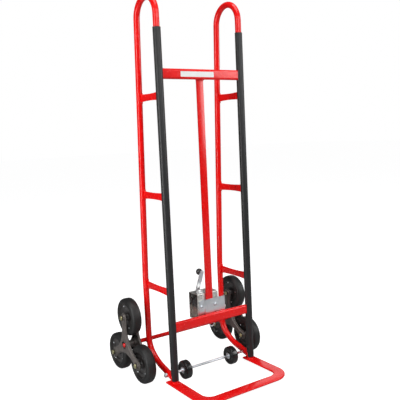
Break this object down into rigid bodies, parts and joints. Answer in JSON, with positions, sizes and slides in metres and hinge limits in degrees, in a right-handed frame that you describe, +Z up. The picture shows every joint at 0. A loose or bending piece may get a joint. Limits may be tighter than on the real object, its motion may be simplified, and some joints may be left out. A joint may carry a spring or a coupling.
{
  "type": "stair climbing trolley",
  "caption": "Tall red tubular hand trolley with a U-shaped toe, a strap winder, heel rollers and three-wheeled clusters that turn to climb stairs.",
  "frame": {"origin": "on the floor under the middle of the whole trolley's box", "axes": "+Z up along the rails; -Y towards the toe; the left side frame stands at -X"},
  "size_m": [0.6226, 0.6388, 1.538],
  "materials": {
    "red_paint": "gloss powder coat over mild steel",
    "black_vinyl": "satin extruded plastic",
    "black_tyre": "solid rubber, satin with moulding marks",
    "heel_tread": "solid rubber, satin",
    "black_rim": "moulded black plastic, semi-gloss",
    "dark_casting": "dark painted pressed and cast steel, satin",
    "bright_zinc": "bright zinc plate",
    "yellow_zinc": "yellow passivated zinc plate on steel",
    "galvanised": "rolled galvanised sheet",
    "webbing": "woven polyester strap",
    "black_knob": "polished black plastic ball"
  },
  "bodies": {
    "root": {"left_side_tube": "red_paint", "left_rail_sleeve": "black_vinyl", "left_upper_bracket": "red_paint", "left_middle_bracket": "red_paint", "left_lower_bracket": "red_paint", "left_axle_retainer": "bright_zinc", "left_rod_nut": "bright_zinc", "right_side_tube": "red_paint", "right_rail_sleeve": "black_vinyl", "right_upper_bracket": "red_paint", "right_middle_bracket": "red_paint", "right_lower_bracket": "red_paint", "right_axle_retainer": "bright_zinc", "right_rod_nut": "bright_zinc", "upper_crossbar": "red_paint", "lower_crossbar": "red_paint", "centre_post": "red_paint", "toe_bar": "red_paint", "main_axle": "red_paint", "heel_rod": "bright_zinc", "anchor_eye": "bright_zinc", "winder_housing": "galvanised", "winder_plate": "bright_zinc", "left_plate_bolt": "bright_zinc", "right_plate_bolt": "bright_zinc", "pawl_pin": "bright_zinc"},
    "left_cluster": {"left_outer_spider": "dark_casting", "left_inner_spider": "dark_casting", "left_hub_tube": "dark_casting", "left_wheel_bolt_1": "yellow_zinc", "left_wheel_bolt_2": "yellow_zinc", "left_wheel_bolt_3": "yellow_zinc"},
    "left_wheel_1": {"left_tyre_1": "black_tyre", "left_rim_1": "black_rim"},
    "left_wheel_2": {"left_tyre_2": "black_tyre", "left_rim_2": "black_rim"},
    "left_wheel_3": {"left_tyre_3": "black_tyre", "left_rim_3": "black_rim"},
    "right_cluster": {"right_outer_spider": "dark_casting", "right_inner_spider": "dark_casting", "right_hub_tube": "dark_casting", "right_wheel_bolt_1": "yellow_zinc", "right_wheel_bolt_2": "yellow_zinc", "right_wheel_bolt_3": "yellow_zinc"},
    "right_wheel_1": {"right_tyre_1": "black_tyre", "right_rim_1": "black_rim"},
    "right_wheel_2": {"right_tyre_2": "black_tyre", "right_rim_2": "black_rim"},
    "right_wheel_3": {"right_tyre_3": "black_tyre", "right_rim_3": "black_rim"},
    "left_heel_roller": {"left_heel_wheel": "heel_tread", "left_heel_bush": "bright_zinc"},
    "right_heel_roller": {"right_heel_wheel": "heel_tread", "right_heel_bush": "bright_zinc"},
    "winder_spool": {"spool_shaft": "bright_zinc", "strap_roll": "webbing", "ratchet_wheel": "bright_zinc", "crank_arm": "bright_zinc", "crank_knob": "black_knob"},
    "pawl": {"pawl": "bright_zinc"}
  },
  "joints": [
    {"name": "left_cluster_turn", "type": "hinge", "parent": "root", "child": "left_cluster", "pos_m": [-0.27, 0.14004, 0.1365], "axis": [1, 0, 0], "continuous": true},
    {"name": "left_wheel_1_spin", "type": "hinge", "parent": "left_cluster", "child": "left_wheel_1", "pos_m": [-0.27, 0.14004, 0.2535], "axis": [1, 0, 0], "continuous": true},
    {"name": "left_wheel_2_spin", "type": "hinge", "parent": "left_cluster", "child": "left_wheel_2", "pos_m": [-0.27, 0.03871, 0.078], "axis": [1, 0, 0], "continuous": true},
    {"name": "left_wheel_3_spin", "type": "hinge", "parent": "left_cluster", "child": "left_wheel_3", "pos_m": [-0.27, 0.24136, 0.078], "axis": [1, 0, 0], "continuous": true},
    {"name": "right_cluster_turn", "type": "hinge", "parent": "root", "child": "right_cluster", "pos_m": [0.27, 0.14004, 0.1365], "axis": [1, 0, 0], "continuous": true},
    {"name": "right_wheel_1_spin", "type": "hinge", "parent": "right_cluster", "child": "right_wheel_1", "pos_m": [0.27, 0.14004, 0.2535], "axis": [1, 0, 0], "continuous": true},
    {"name": "right_wheel_2_spin", "type": "hinge", "parent": "right_cluster", "child": "right_wheel_2", "pos_m": [0.27, 0.03871, 0.078], "axis": [1, 0, 0], "continuous": true},
    {"name": "right_wheel_3_spin", "type": "hinge", "parent": "right_cluster", "child": "right_wheel_3", "pos_m": [0.27, 0.24136, 0.078], "axis": [1, 0, 0], "continuous": true},
    {"name": "left_heel_spin", "type": "hinge", "parent": "root", "child": "left_heel_roller", "pos_m": [-0.117, -0.03736, 0.038], "axis": [1, 0, 0], "continuous": true},
    {"name": "right_heel_spin", "type": "hinge", "parent": "root", "child": "right_heel_roller", "pos_m": [0.117, -0.03736, 0.038], "axis": [1, 0, 0], "continuous": true},
    {"name": "crank_turn", "type": "hinge", "parent": "root", "child": "winder_spool", "pos_m": [-0.018, -0.02736, 0.2975], "axis": [0, 1, 0], "continuous": true},
    {"name": "pawl_lift", "type": "hinge", "parent": "root", "child": "pawl", "pos_m": [-0.012, 0.00864, 0.3295], "axis": [0, -1, 0], "range_deg": [0, 25], "stiffness_Nm_per_rad": 0.05, "springref_deg": -28.65}
  ]
}
